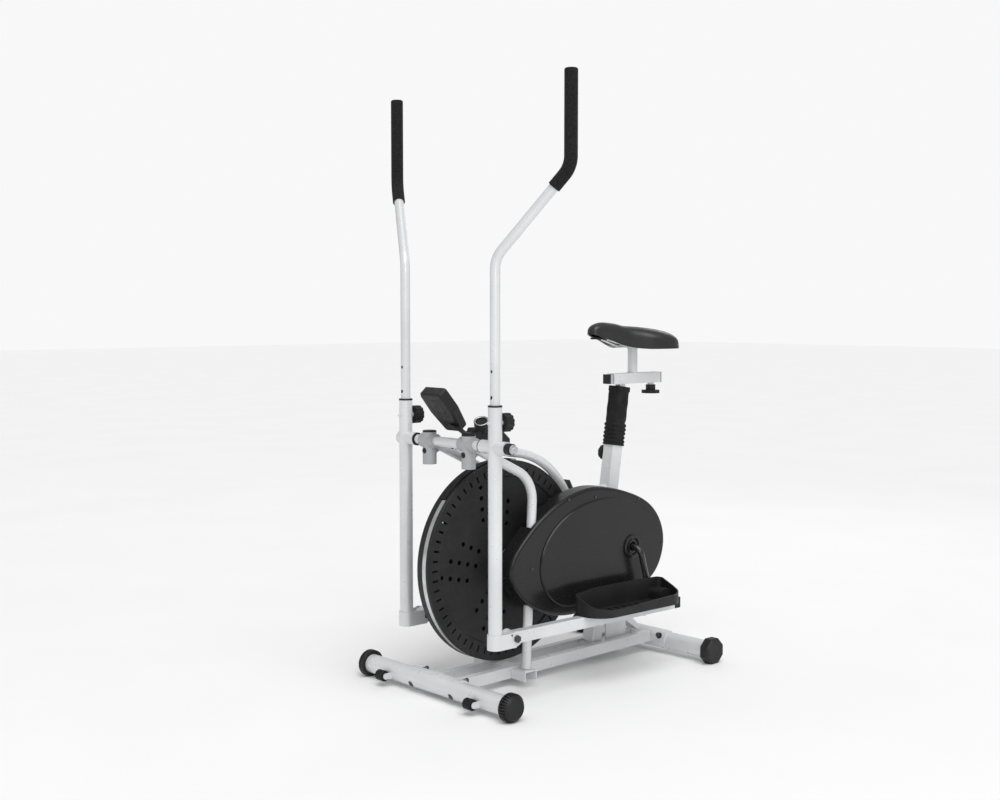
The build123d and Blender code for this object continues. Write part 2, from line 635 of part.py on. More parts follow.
def link(hand):
    """A foot link: square tube, front sleeve and the housing of its crank bearing."""
    half = LINK_HEIGHT / 2
    outer = box((LINK_REAR, LINK_X), (ARM_Y - LINK_WIDTH / 2, ARM_Y + LINK_WIDTH / 2), (LINK_Z - half, LINK_Z + half))
    inner = box((LINK_REAR - 1, LINK_X - 25), (ARM_Y - LINK_WIDTH / 2 + 2, ARM_Y + LINK_WIDTH / 2 - 2),
                (LINK_Z - half + 2, LINK_Z + half - 2))
    pin = crank_pin(1)
    body = outer - inner + across(LINK_X, LINK_Z, ARM_Y - 17.2, ARM_Y + 17.2, LINK_HEIGHT)
    body += across(*pin, ARM_Y - 24, ARM_Y + 17, 34)
    body -= across(LINK_X, LINK_Z, 100, 300, 10.2)
    body -= across(*pin, ARM_Y - 25, ARM_Y + 18, 26)
    for x in pedal_bolt_places():
        body -= rod((x, ARM_Y, 100), (x, ARM_Y, 195), 6.4)
    return placed(body, hand)


def placed(body, hand):
    """A piece of the left link at rest, or the same piece mirrored and raised on the right."""
    if hand > 0:
        return body
    pivot = Pos(LINK_X, 0, LINK_Z)
    return pivot * Rot(0, link_tilt(-1), 0) * pivot.inverse() * mirror(body, about=Plane.XZ)


def link_plug(hand):
    """The black end plug of the link."""
    half = LINK_HEIGHT / 2
    end = box((LINK_REAR - 26, LINK_REAR), (ARM_Y - LINK_WIDTH / 2, ARM_Y + LINK_WIDTH / 2),
              (LINK_Z - half, LINK_Z + half))
    end = fillet(end.faces().sort_by(Axis.X)[0].edges(), 4)
    inside = box((LINK_REAR, LINK_REAR + 20), (ARM_Y - LINK_WIDTH / 2 + 2, ARM_Y + LINK_WIDTH / 2 - 2),
                 (LINK_Z - half + 2, LINK_Z + half - 2))
    return placed(end + inside, hand)


def link_bearing(hand):
    """The bearing in the link's housing with the stub pin that stands out to the crank's eye."""
    pin = crank_pin(1)
    body = across(*pin, ARM_Y - 24, ARM_Y + 17, 26) + across(*pin, CRANK_PLANE + 13, ARM_Y, 14)
    return placed(body, hand)


def pedal_bolt_places():
    return [FRONT_X - offset for offset in (417, 505, 587)]


def pedal_bolts(hand):
    solids = []
    for x in pedal_bolt_places():
        shank = rod((x, ARM_Y, LINK_Z - 15), (x, ARM_Y, LINK_Z + 15), 6)
        head = hex_head(Plane(origin=(x, ARM_Y, LINK_Z - 15), z_dir=(0, 0, -1)), 11, 4)
        solids.append(placed(shank + head, hand))
    return solids


PEDAL_FRONT = FRONT_X - 340.0
PEDAL_REAR = FRONT_X - 680.0
PEDAL_IN = 150.0
PEDAL_OUT = 250.0


def pedal_outline(inset):
    """The footprint: straight inner side, rounded tail and a wide curve round the toe's outer corner."""
    corners = [(PEDAL_REAR, PEDAL_IN), (PEDAL_FRONT, PEDAL_IN), (PEDAL_FRONT - 4, PEDAL_OUT - 4),
               (PEDAL_REAR + 4, PEDAL_OUT)]
    face = make_face(Polyline(*corners, close=True))
    rear_in, front_in = (sorted(face.vertices(), key=lambda v: (v.Y, v.X)))[:2]
    front_out = sorted(face.vertices(), key=lambda v: -v.X - v.Y)[0]
    rear_out = sorted(face.vertices(), key=lambda v: v.X - v.Y)[0]
    face = fillet([rear_in], 14)
    face = fillet([v for v in face.vertices() if v.distance_to(Vertex(front_in.X, front_in.Y, 0)) < 1], 16)
    face = fillet([v for v in face.vertices() if v.distance_to(Vertex(front_out.X, front_out.Y, 0)) < 1], 60)
    face = fillet([v for v in face.vertices() if v.distance_to(Vertex(rear_out.X, rear_out.Y, 0)) < 1], 48)
    return offset(face, amount=-inset) if inset else face


def wall_cutter():
    """All that is above the walls: they are high on the inner side and dip to the outer toe corner."""
    edges_y = (PEDAL_IN - 5, PEDAL_IN + 15, PEDAL_OUT - 35, PEDAL_OUT + 6)
    stations = ((PEDAL_REAR - 10, (246, 244, 224, 215)), (PEDAL_REAR + 105, (250, 248, 219, 211)),
                (PEDAL_FRONT - 75, (250, 246, 213, 205)), (PEDAL_FRONT + 10, (240, 236, 216, 208)))
    sections = []
    for x, heights in stations:
        line = list(zip(edges_y, heights)) + [(edges_y[-1], 330), (edges_y[0], 330)]
        sections.append(Plane.YZ.offset(x) * make_face(Polyline(*line, close=True)))
    return loft(sections, ruled=True)


def pedal(hand):
    """A deep foot tray: high inner wall, low outer wall, ribbed floor and a boss over the bearing."""
    base, high, wall, floor = LINK_Z + LINK_HEIGHT / 2, 250.0, 3.5, 4.0
    tray = extrude(Pos(0, 0, base) * pedal_outline(0), high - base)
    tray -= extrude(Pos(0, 0, base + floor) * pedal_outline(wall), high)
    tray -= wall_cutter()
    rib_pitch = 26.0
    for k in range(8):
        x = PEDAL_FRONT - 34 - rib_pitch * k
        tray += box((x, x + 4), (PEDAL_IN + 22, PEDAL_OUT - 30), (base + floor, base + floor + 2.5))
    pin = crank_pin(1)
    boss = box((pin[0] - 24, pin[0] + 24), (PEDAL_IN + 1, ARM_Y + 22), (base + 1, 221))
    boss = fillet(boss.edges().filter_by(Axis.Y).group_by(Axis.Z)[-1], 16)
    tray += boss
    tray -= across(*pin, PEDAL_IN - 5, ARM_Y + 17.6, 34.8)
    tray -= box((pin[0] - 17.4, pin[0] + 17.4), (PEDAL_IN - 5, ARM_Y + 17.6), (base - 20, pin[1]))
    return placed(tray, hand)


# ---- saddle ----

def lock_screw_line():
    """The line of the seat post's lock screw, from the right side into the seat tube."""
    middle = seat_plane(582).origin
    start = middle - Vector(0, SEAT_TUBE / 2 + 4, 0)
    end = middle - Vector(0, SEAT_TUBE / 2 - 6, 0)
    return start, end


def seat_collar():
    """The plastic guide between the square tube and the round post."""
    plane = seat_plane(SEAT_TUBE_TOP)
    insert = extrude(plane * RectangleRounded(35.8, 35.8, 2), -95) + extrude(plane * RectangleRounded(40, 40, 4), 3)
    bore = extrude(plane.offset(-96) * Circle(POST_D / 2 + 0.09), 110)
    screw = lock_screw_line()
    return insert - bore - rod(screw[0], screw[1] - (screw[0] - screw[1]), 12.2)


def post_knob():
    """The seat post's lock knob on the right side of the seat tube."""
    start, end = lock_screw_line()
    outward = (start - end).normalized()
    knob = Plane(origin=start, z_dir=outward) * lobed_knob(42, 13, 8)
    return knob + rod(start - outward * 7.6, start, 10)


def seat_post():
    """The round post and the square rail it carries."""
    low, high = seat_axis(470), seat_axis(SLIDER_Z - 2)
    post = rod(low, high, POST_D) & box((-600, 0), (-30, 30), (0, SLIDER_Z - SLIDER / 2 - 8))
    neck = box((high[0] - 11, high[0] + 11), (-9, 9), (SLIDER_Z - SLIDER / 2 - 9, SLIDER_Z - 12))
    rail = box((SLIDER_REAR + 42, RAIL_FRONT), (-12.5, 12.5), (SLIDER_Z - 12.5, SLIDER_Z + 12.5))
    return post + neck + rail


def rail_plug():
    plug = box((RAIL_FRONT, RAIL_FRONT + 5), (-13.5, 13.5), (SLIDER_Z - 13.5, SLIDER_Z + 13.5))
    return fillet(plug.faces().sort_by(Axis.X)[-1].edges(), 2)


def bellows():
    """The square boot from the seat tube's mouth to the rail, pleated near its lower end."""
    start, top = SEAT_TUBE_TOP - 6.0, SLIDER_Z - SLIDER / 2 - 9
    length = (top - start) / cos(radians(SEAT_LEAN)) - 3
    half, fold, pitch, pleats = 23.5, 3.0, 11.0, 5
    plane = seat_plane(start)
    boot = extrude(plane * RectangleRounded(2 * half, 2 * half, 5), length)
    for k in range(pleats):
        ring = RectangleRounded(2 * half + 2, 2 * half + 2, 5) - RectangleRounded(2 * half - fold, 2 * half - fold, 4)
        boot -= extrude(plane.offset(9 + pitch * k) * ring, 4)
    boot -= extrude(plane.offset(-1) * RectangleRounded(SEAT_TUBE + 0.8, SEAT_TUBE + 0.8, 4), 14)
    boot -= extrude(plane.offset(10) * RectangleRounded(SEAT_TUBE - 1, SEAT_TUBE - 1, 4), length - 14)
    return boot - extrude(plane.offset(-1) * Circle(POST_D / 2 + 0.2), length + 2)


def saddle_slider():
    """The square slider over the rail, the saddle's stem and the nut for the lock screw."""
    half = SLIDER / 2
    body = box((SLIDER_REAR, SLIDER_FRONT), (-half, half), (SLIDER_Z - half, SLIDER_Z + half))
    body -= box((SLIDER_REAR - 1, SLIDER_FRONT + 1), (-half + 2, half - 2), (SLIDER_Z - half + 2, SLIDER_Z + half - 2))
    neck_x = seat_axis(SLIDER_Z - 2)[0]
    body -= box((neck_x - 44, SLIDER_FRONT + 5), (-10, 10), (SLIDER_Z - half - 5, SLIDER_Z))
    body += rod((SADDLE_X, 0, SLIDER_Z + half), (SADDLE_X, 0, 877), 28)
    body += rod((SLIDER_REAR + 27, 0, SLIDER_Z - half - 6), (SLIDER_REAR + 27, 0, SLIDER_Z - half), 18)
    return body - rod((SLIDER_REAR + 27, 0, SLIDER_Z - half - 8), (SLIDER_REAR + 27, 0, SLIDER_Z - half + 3), 10.4)


def slider_plug():
    half = SLIDER / 2
    return box((SLIDER_REAR - 3, SLIDER_REAR), (-half, half), (SLIDER_Z - half, SLIDER_Z + half))


def slider_knob():
    """The lock knob under the slider: a wide rim on a thick stem."""
    top = SLIDER_Z - SLIDER / 2 - 6.3
    place = Plane(origin=(SLIDER_REAR + 27, 0, top), z_dir=(0, 0, -1))
    body = place * (extrude(Circle(14), 20) + Pos(0, 0, 16) * lobed_knob(52, 9, 12))
    return body + rod((SLIDER_REAR + 27, 0, top), (SLIDER_REAR + 27, 0, top + 7), 10)


def saddle_outline(inset):
    """The saddle from above: narrow nose, waist and a wide rounded tail."""
    nose, tail = SADDLE_NOSE, SADDLE_TAIL
    half = [(nose, 22, 18), (nose - 75, 31, 60), (nose - 150, 62, 90), (tail + 75, 100, 60), (tail, 96, 46)]
    points = [(x, y) for x, y, _ in half] + [(x, -y) for x, y, _ in reversed(half)]
    radii = [r for _, _, r in half] + [r for _, _, r in reversed(half)]
    face = make_face(FilletPolyline(*points, radius=radii, close=True))
    return offset(face, amount=-inset) if inset else face


def saddle_profile():
    """The saddle from the side: a top that falls to the tail and a lower edge that rises to the nose."""
    nose, tail = SADDLE_NOSE, SADDLE_TAIL
    top = Spline((tail - 6, 918), (tail + 40, 931), (nose - 130, 943), (nose - 45, 954), (nose + 6, 930))
    under = Spline((nose + 6, 924), (nose - 55, 906), (nose - 120, 883), (nose - 175, 878))
    flat = Line(under @ 1, (tail - 6, 877))
    return make_face([top, Line(top @ 1, under @ 0), under, flat, Line(flat @ 1, top @ 0)])


def saddle():
    """The padded saddle with a hollow underside."""
    plane = Plane(origin=(0, -120, 0), x_dir=(1, 0, 0), z_dir=(0, -1, 0))
    body = extrude(Pos(0, 0, 860) * saddle_outline(0), 120) & extrude(plane * saddle_profile(), -240)
    hollow = extrude(Pos(0, 0, 840) * saddle_outline(11), 71)
    return body - hollow


def saddle_base():
    """The shell inside the saddle's underside with its clamp and two wire rails."""
    plate = extrude(Pos(0, 0, 906) * saddle_outline(11.6), 4.9)
    clamp = rod((SADDLE_X, 0, 877), (SADDLE_X, 0, 890), 32) + box((SADDLE_X - 14, SADDLE_X + 14), (-30, 30), (880, 894))
    rails = []
    for y in (-22, 22):
        route = [(SADDLE_NOSE - 55, y * 0.5, 906.4), (SADDLE_X + 45, y, 887), (SADDLE_X - 40, y, 887),
                 (SADDLE_TAIL + 30, y, 906.4)]
        rails.append(bent_rod(route, [20, 20], 7) & box((-600, 0), (-60, 60), (800, 906)))
    for rail in rails:
        clamp -= rail
    return plate, clamp, rails


# ---- chain cover ----

def egg(inset):
    """The cover's outline: a small front end, a high back and a large round tail."""
    points = [(.231, .409), (.3525, .484), (.460, .5086), (.608, .484), (.716, .4275), (.757, .345), (.719, .243),
              (.560, .196), (.4195, .1725), (.300, .185), (.205, .241), (.164, .316)]
    edge = Spline(*[(FRONT_X - 1000 * x, 1000 * z) for x, z in points], periodic=True)
    if not inset:
        return make_face(edge)
    steps = 24
    inner = []
    for k in range(steps):
        along = edge % (k / steps)
        inner.append(edge @ (k / steps) + Vector(-along.Y, along.X) * inset)
    return make_face(Spline(*inner, periodic=True))


def panel_outline():
    """The raised oval panel, set back from the cover's small end."""
    points = [(.267, .323), (.287, .378), (.356, .439), (.480, .475), (.621, .458), (.7185, .383), (.734, .319),
              (.692, .254), (.560, .222), (.430, .200), (.338, .205), (.2775, .262)]
    return make_face(Spline(*[(FRONT_X - 1000 * x, 1000 * z) for x, z in points], periodic=True))


COVER_FACE = 102.0
COVER_BACK = 52.0
COVER_WALL = 3.0


def cover_plane(y):
    return Plane(origin=(0, y, 0), x_dir=(1, 0, 0), z_dir=(0, -1, 0))


def chain_cover():
    """The moulded cover: deep shell, raised panel, crank boss and notches for the fork tube."""
    shell = extrude(cover_plane(COVER_FACE) * egg(0), COVER_FACE - COVER_BACK)
    rim = shell.faces().sort_by(Axis.Y)[-1].edges()
    shell = fillet(rim, 9)
    panel = extrude(cover_plane(COVER_FACE + 5) * panel_outline(), 6)
    panel = chamfer(panel.faces().sort_by(Axis.Y)[-1].edges(), 3)
    inside = extrude(cover_plane(COVER_FACE - COVER_WALL) * egg(COVER_WALL), COVER_FACE)
    body = shell + panel - inside
    body += across(CRANK_X, CRANK_Z, COVER_FACE - 1, COVER_FACE + 8, 38)
    body -= across(CRANK_X, CRANK_Z, 0, 140, 26)
    body -= fork_notch()
    for x, z in cover_screw_places():
        body -= across(x, z, COVER_FACE - 8, COVER_FACE + 10, 4.2)
    return body


def fork_notch():
    """The slot, open on the inner side, that lets the fork tube pass through the cover."""
    foot, shoulder = fork_points()[:2]
    half = FORK_D / 2 + 1.5
    slot = make_face(Polyline((foot[0] - half, foot[2]), (foot[0] + half, foot[2]), (shoulder[0] + half, shoulder[2]),
                              (shoulder[0] - half, shoulder[2]), close=True))
    return extrude(cover_plane(FORK_Y + half) * slot, 80)


def cover_screw_places():
    offsets = ((473, 483), (645, 461), (746, 326), (372, 484), (237, 315))
    return [(FRONT_X - x, z) for x, z in offsets]


def cover_screws():
    solids = []
    for x, z in cover_screw_places():
        screw = across(x, z, COVER_FACE, COVER_FACE + 1.6, 8) + across(x, z, COVER_FACE - 3, COVER_FACE, 4.2)
        solids.append(screw)
    return solids


def cover_brackets():
    """Two stand-offs that hold the cover, from the seat tube and from the fork's plate."""
    upper_z = 452.0
    upper_x = seat_axis(upper_z)[0] + 4
    upper = across(upper_x, upper_z, SEAT_TUBE / 2, COVER_FACE - COVER_WALL, 10)
    lower = across(FRONT_X - 237, 315, FORK_Y - FORK_D / 2 - 0.5, COVER_FACE - COVER_WALL, 7)
    tube = bent_rod(fork_points(), [88], FORK_D + 0.4)
    return [upper, lower - tube]


# ---- tension control and console ----

TENSION_KNOB = (FRONT_X - 133, 24, 692)


def arch_angle_point(angle, radius):
    return (WHEEL_X + radius * cos(radians(angle)), WHEEL_Z + radius * sin(radians(angle)))


def tension_housing():
    """The wedge-shaped housing astride the arch, with a post for the knob."""
    base = 618.0
    side_view = make_face(Polyline((FRONT_X - 236, base), (FRONT_X - 236, base + 32), (FRONT_X - 198, base + 66),
                                   (FRONT_X - 122, base + 66), (FRONT_X - 108, base + 42), (FRONT_X - 112, base + 6),
                                   close=True))
    body = extrude(Plane(origin=(0, 22, 0), x_dir=(1, 0, 0), z_dir=(0, -1, 0)) * side_view, 44)
    body = chamfer(body.faces().filter_by(Axis.Y).edges(), 4)
    post_axis = Plane(origin=TENSION_KNOB, z_dir=knob_direction())
    body += extrude(post_axis.offset(-24) * Circle(9), 23.5)
    body -= bent_rod(arch_points(), ARCH_BENDS, ARCH_D + 0.1)
    for loop in both(bent_rod(fork_points(), [88], FORK_D + 0.6)):
        body -= loop
    return body - rod(post_axis.origin - post_axis.z_dir * 18, post_axis.origin + post_axis.z_dir * 5, 8.4)


def knob_direction():
    """The tension knob leans forward and to the left."""
    return Vector(0.45, 0.35, 0.82).normalized()


def tension_knob():
    place = Plane(origin=TENSION_KNOB, z_dir=knob_direction())
    return place * (extrude(Circle(20), 14) - Pos(0, 0, 14) * Cylinder(14, 4)) + extrude(place * Circle(4), -16)


def friction_belt():
    """The friction strap over the front of the wheel, anchored to a foot under the housing."""
    start, end = 42.0, 100.0
    outer, inner = WHEEL_R + 3.0, WHEEL_R + 0.6
    ring = Circle(outer) - Circle(inner)
    wedge = [(0, 0), (400 * cos(radians(start)), 400 * sin(radians(start))), (360, 420), (0, 480),
             (400 * cos(radians(end)), 400 * sin(radians(end)))]
    strap = extrude(Plane(origin=(WHEEL_X, 10, WHEEL_Z), x_dir=(1, 0, 0), z_dir=(0, -1, 0)) *
                    (ring & make_face(Polyline(*wedge, close=True))), 20)
    return strap


def console_plane():
    """The console's own plane: bottom end in the middle, Y along its length, Z out of its screen."""
    lean = radians(50)
    return Plane(origin=(FRONT_X - 70, 0, 687), x_dir=(0, -1, 0), z_dir=(-sin(lean), 0, cos(lean)))


CONSOLE_LENGTH = 130.0


def console_outline(inset):
    half_low, half_top = 29.0, 44.0
    corners = [(-half_low, 0), (half_low, 0), (half_top, CONSOLE_LENGTH * 0.5), (half_top - 2, CONSOLE_LENGTH),
               (2 - half_top, CONSOLE_LENGTH), (-half_top, CONSOLE_LENGTH * 0.5)]
    face = make_face(Polyline(*corners, close=True))
    face = fillet(face.vertices(), 12)
    return offset(face, amount=-inset) if inset else face


def console_back():
    """The console's rear shell, with the battery door's groove and three ribs."""
    plane = console_plane()
    body = extrude(plane.offset(-15) * console_outline(0), 16)
    body = chamfer(body.faces().sort_by(Axis((0, 0, 0), tuple(-plane.z_dir)))[-1].edges(), 5)
    door = plane.offset(-15) * Pos(0, 88, 0) * (Box(46, 44, 1.6) - Box(44, 42, 3))
    body -= door
    for k in range(3):
        body -= plane.offset(-15) * Pos(0, 24 + 7 * k, 0) * Box(26, 2.4, 2.4)
    return body


def console_front():
    """The console's bezel with its window and the hole for the button."""
    plane = console_plane()
    body = extrude(plane.offset(1) * console_outline(0), 14)
    body = chamfer(body.faces().sort_by(Axis((0, 0, 0), tuple(plane.z_dir)))[-1].edges(), 4)
    body -= plane.offset(15) * Pos(0, 86, 0) * Box(56, 40, 6)
    return body - plane.offset(10) * Pos(0, 30, 0) * Cylinder(9.4, 20)


def console_lens():
    return console_plane().offset(12) * Pos(0, 86, 1) * Box(55.8, 39.8, 2)


def console_button():
    return console_plane().offset(6) * Pos(0, 30, 5.2) * Cylinder(9, 10.4)


def console_bracket():
    """A bent strip from the left tee's cap up to the back of the console."""
    top = PIVOT_Z + 22 + 4.6
    rise, sheet = 16.0, 3.0
    under = [(SOCKET_Y + 12, top), (SOCKET_Y - 16, top), (26, top + rise), (8, top + rise)]
    over = [(y, z + sheet) for y, z in reversed(under)]
    strip = extrude(Plane.YZ.offset(ARM_X - 9) * make_face(Polyline(*under, *over, close=True)), 18)
    plane = console_plane()
    block = extrude(plane.offset(-15) * console_outline(0), 40)
    return strip - block


def sensor_lead():
    """The thin lead that droops from the console's lower end to the tension housing."""
    points = [(FRONT_X - 76, 8, 688), (FRONT_X - 86, 10, 678), (FRONT_X - 104, 13, 673), (FRONT_X - 122, 16, 678)]
    lead = bent_rod(points, [10, 14], 3.2)
    console = extrude(console_plane().offset(-16) * console_outline(0), 40)
    return lead - console - tension_housing()


# ---- build ----

def build():
    os.makedirs("parts", exist_ok=True)
    save("base_rails", *base_rails(), *cross_channels())
    save("foot_tubes", drilled_foot(FRONT_X, FRONT_HALF, -1), drilled_foot(REAR_X, REAR_HALF, 1))
    save("foot_caps", *both(front_cap()), *both(rear_cap()))
    save("foot_brackets", saddle_plate(FRONT_X, -1), saddle_plate(REAR_X, 1), *both(roller_bracket()))
    save("foot_bolts", *[foot_bolt(x, y, t) for x, t in ((FRONT_X, -1), (REAR_X, 1)) for y in (-80, 80)])
    save("axles_and_cups", wheel_axle(), arm_axle(), *bearing_cups())
    save("left_roller", roller())
    save("right_roller", side(roller(), -1))
    save("seat_tube", seat_tube())
    save("rear_supports", *rear_supports())
    save("arch_tube", arch_tube())
    save("fork_loops", *both(fork_loop()))
    save("cross_tube", cross_tube())
    save("t_sockets", *both(t_socket()))
    save("socket_caps", *both(socket_cap()))
    save("wheel_discs", *wheel_discs())
    save("wheel_rim", wheel_rim())
    save("wheel_hub", wheel_hub(), sprocket())
    save("chain", chain())
    save("chainring", chainring())
    save("crank", crank())
    for name, hand in (("left", 1), ("right", -1)):
        save(f"{name}_arm", side(arm(hand), hand))
        save(f"{name}_arm_bushings", side(arm_bushing(hand), hand), side(arm_collar(), hand))
        save(f"{name}_link_bolt", side(link_bolt(), hand))
        save(f"{name}_handle", side(handle(), hand))
        save(f"{name}_grip", side(grip(), hand))
        save(f"{name}_handle_knob", side(handle_knob(), hand))
        save(f"{name}_link", link(hand))
        save(f"{name}_link_hardware", link_bearing(hand), *pedal_bolts(hand))
        save(f"{name}_pedal", pedal(hand), link_plug(hand))
    save("seat_collar", seat_collar())
    save("post_knob", post_knob())
    save("seat_post", seat_post())
    save("rail_plug", rail_plug())
    save("bellows", bellows())
    save("saddle_slider", saddle_slider())
    save("slider_plug", slider_plug())
    save("slider_knob", slider_knob())
    save("saddle", saddle())
    plate, clamp, rails = saddle_base()
    save("saddle_shell", plate)
    save("saddle_clamp", clamp, *rails)
    save("chain_cover", chain_cover())
    save("cover_fasteners", *cover_screws(), *cover_brackets())
    save("tension_housing", tension_housing())
    save("tension_knob", tension_knob())
    save("friction_belt", friction_belt())
    save("console_case", console_back(), console_front())
    save("console_lens", console_lens())
    save("console_button", console_button())
    save("console_bracket", console_bracket())
    save("sensor_lead", sensor_lead())


build()
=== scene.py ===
import bpy
import json
from math import cos, pi, radians, sin
from mathutils import Matrix, Vector


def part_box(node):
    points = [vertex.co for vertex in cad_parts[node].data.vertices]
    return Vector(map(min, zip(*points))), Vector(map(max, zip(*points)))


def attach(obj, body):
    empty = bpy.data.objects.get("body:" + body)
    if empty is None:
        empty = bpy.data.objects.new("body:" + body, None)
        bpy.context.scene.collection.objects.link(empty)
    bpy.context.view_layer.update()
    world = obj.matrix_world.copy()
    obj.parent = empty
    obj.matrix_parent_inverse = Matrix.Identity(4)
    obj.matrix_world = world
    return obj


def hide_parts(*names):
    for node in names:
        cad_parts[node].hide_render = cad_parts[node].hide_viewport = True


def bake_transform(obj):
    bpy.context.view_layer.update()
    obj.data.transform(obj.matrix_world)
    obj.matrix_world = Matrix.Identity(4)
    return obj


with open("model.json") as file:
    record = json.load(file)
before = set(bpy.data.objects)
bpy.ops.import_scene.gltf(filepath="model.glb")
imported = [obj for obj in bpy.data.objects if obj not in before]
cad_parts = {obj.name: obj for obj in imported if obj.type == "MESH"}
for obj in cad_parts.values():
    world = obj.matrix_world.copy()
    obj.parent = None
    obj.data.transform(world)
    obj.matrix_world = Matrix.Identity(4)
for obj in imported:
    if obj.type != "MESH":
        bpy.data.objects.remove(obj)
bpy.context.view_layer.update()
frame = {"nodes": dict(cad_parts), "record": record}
slot_of = {s["node"]: s["material_slot"] for s in frame["record"]["subparts"]}
joint_axis = {j["name"]: j["axis"] for j in frame["record"]["behaviour"]["joints"]}
joint_at = {j["name"]: Vector(j["pos_m"]) for j in frame["record"]["behaviour"]["joints"]}

MM = 0.001
LEAN = radians(8.6)              # of the seat tube, back from upright
HANDLE_RADIUS = 12.7 * MM
ARM_SIDE = 20.4 * MM             # from an arm's middle to the outside of its yoke
STEM_RADIUS = 14 * MM
SOCKET_Y = 77.5 * MM             # from the machine's middle to a tee's middle
SADDLE_LENGTH = 290


# ---- materials ----

def new_material(name, color, roughness, metallic=0.0, coat=0.0, sheen=0.0, specular=0.5):
    """A material whose shader holds the constants; the textures are added after."""
    mat = bpy.data.materials.new(name)
    mat.use_nodes = True
    shader = mat.node_tree.nodes["Principled BSDF"]
    shader.inputs["Base Color"].default_value = (*color, 1.0)
    shader.inputs["Roughness"].default_value = roughness
    shader.inputs["Metallic"].default_value = metallic
    shader.inputs["Coat Weight"].default_value = coat
    coat_roughness = 0.08
    shader.inputs["Coat Roughness"].default_value = coat_roughness
    shader.inputs["Sheen Weight"].default_value = sheen
    shader.inputs["Specular IOR Level"].default_value = specular
    return mat, shader


def coordinates(mat, stretch=(1.0, 1.0, 1.0)):
    """Places on the object in metres, stretched along each axis."""
    nodes, links = mat.node_tree.nodes, mat.node_tree.links
    where = nodes.new("ShaderNodeTexCoord")
    mapping = nodes.new("ShaderNodeMapping")
    mapping.inputs["Scale"].default_value = stretch
    links.new(where.outputs["Object"], mapping.inputs["Vector"])
    return mapping.outputs["Vector"]


def noise(mat, vector, scale, detail=4.0):
    """Cloudy noise, its scale in cycles a metre."""
    node = mat.node_tree.nodes.new("ShaderNodeTexNoise")
    node.inputs["Scale"].default_value = scale
    node.inputs["Detail"].default_value = detail
    mat.node_tree.links.new(vector, node.inputs["Vector"])
    return node.outputs["Fac"]


def cells(mat, vector, scale, feature="F1"):
    """Small cells: the distance to each one's point or to its edge."""
    node = mat.node_tree.nodes.new("ShaderNodeTexVoronoi")
    node.feature = feature
    node.inputs["Scale"].default_value = scale
    mat.node_tree.links.new(vector, node.inputs["Vector"])
    return node.outputs["Distance"]


def vary_color(mat, shader, value, dark, light, low=0.35, high=0.65):
    """Colour that drifts between two shades."""
    ramp = mat.node_tree.nodes.new("ShaderNodeValToRGB")
    ramp.color_ramp.elements[0].position = low
    ramp.color_ramp.elements[0].color = (*dark, 1.0)
    ramp.color_ramp.elements[1].position = high
    ramp.color_ramp.elements[1].color = (*light, 1.0)
    mat.node_tree.links.new(value, ramp.inputs["Fac"])
    mat.node_tree.links.new(ramp.outputs["Color"], shader.inputs["Base Color"])


def vary_roughness(mat, shader, value, low, high):
    """Roughness that drifts between two values."""
    spread = mat.node_tree.nodes.new("ShaderNodeMapRange")
    spread.inputs["From Min"].default_value = 0.3
    spread.inputs["From Max"].default_value = 0.7
    spread.inputs["To Min"].default_value = low
    spread.inputs["To Max"].default_value = high
    mat.node_tree.links.new(value, spread.inputs["Value"])
    mat.node_tree.links.new(spread.outputs["Result"], shader.inputs["Roughness"])


def add_bump(mat, shader, height, strength, distance):
    """Small relief from a height value; the distance is in metres."""
    bump = mat.node_tree.nodes.new("ShaderNodeBump")
    bump.inputs["Strength"].default_value = strength
    bump.inputs["Distance"].default_value = distance
    mat.node_tree.links.new(height, bump.inputs["Height"])
    mat.node_tree.links.new(bump.outputs["Normal"], shader.inputs["Normal"])


def shade(color, factor):
    return tuple(c * factor for c in color)


def painted(name, color, roughness=0.32, peel=0.12, coat=0.35):
    """Sprayed paint: a slight orange peel under a clear surface."""
    mat, shader = new_material(name, color, roughness, metallic=0.15, coat=coat)
    where = coordinates(mat)
    vary_color(mat, shader, noise(mat, where, 6.0), shade(color, 0.93), shade(color, 1.03))
    vary_roughness(mat, shader, noise(mat, where, 40.0), roughness - 0.06, roughness + 0.08)
    add_bump(mat, shader, noise(mat, where, 900.0, 2.0), peel, 0.0006)
    return mat


def zinc(name, color):
    """Plated steel with fine brushing and cloudy plating."""
    mat, shader = new_material(name, color, 0.3, metallic=1.0)
    vary_color(mat, shader, noise(mat, coordinates(mat), 30.0), shade(color, 0.78), color)
    lines = noise(mat, coordinates(mat, (40.0, 400.0, 40.0)), 8.0, 6.0)
    vary_roughness(mat, shader, lines, 0.22, 0.42)
    add_bump(mat, shader, lines, 0.08, 0.0004)
    return mat


def grained_plastic(name, color, roughness=0.45, grain=0.35):
    """Moulded plastic with a spark-eroded grain and faint scuffs."""
    mat, shader = new_material(name, color, roughness, specular=0.28)
    where = coordinates(mat)
    vary_color(mat, shader, noise(mat, where, 14.0), shade(color, 0.82), shade(color, 1.25))
    vary_roughness(mat, shader, noise(mat, where, 60.0, 6.0), roughness - 0.08, roughness + 0.12)
    add_bump(mat, shader, noise(mat, where, 2200.0, 2.0), grain, 0.0005)
    return mat


def glossy_plastic(name, color):
    """Polished moulded plastic: gentle flow waves, fine hairline wear."""
    mat, shader = new_material(name, color, 0.24, coat=0.06, specular=0.32)
    where = coordinates(mat)
    vary_color(mat, shader, noise(mat, where, 5.0), shade(color, 0.85), shade(color, 1.2))
    hairs = noise(mat, coordinates(mat, (3.0, 3.0, 60.0)), 40.0, 8.0)
    vary_roughness(mat, shader, hairs, 0.16, 0.34)
    add_bump(mat, shader, noise(mat, where, 25.0, 2.0), 0.06, 0.002)
    return mat


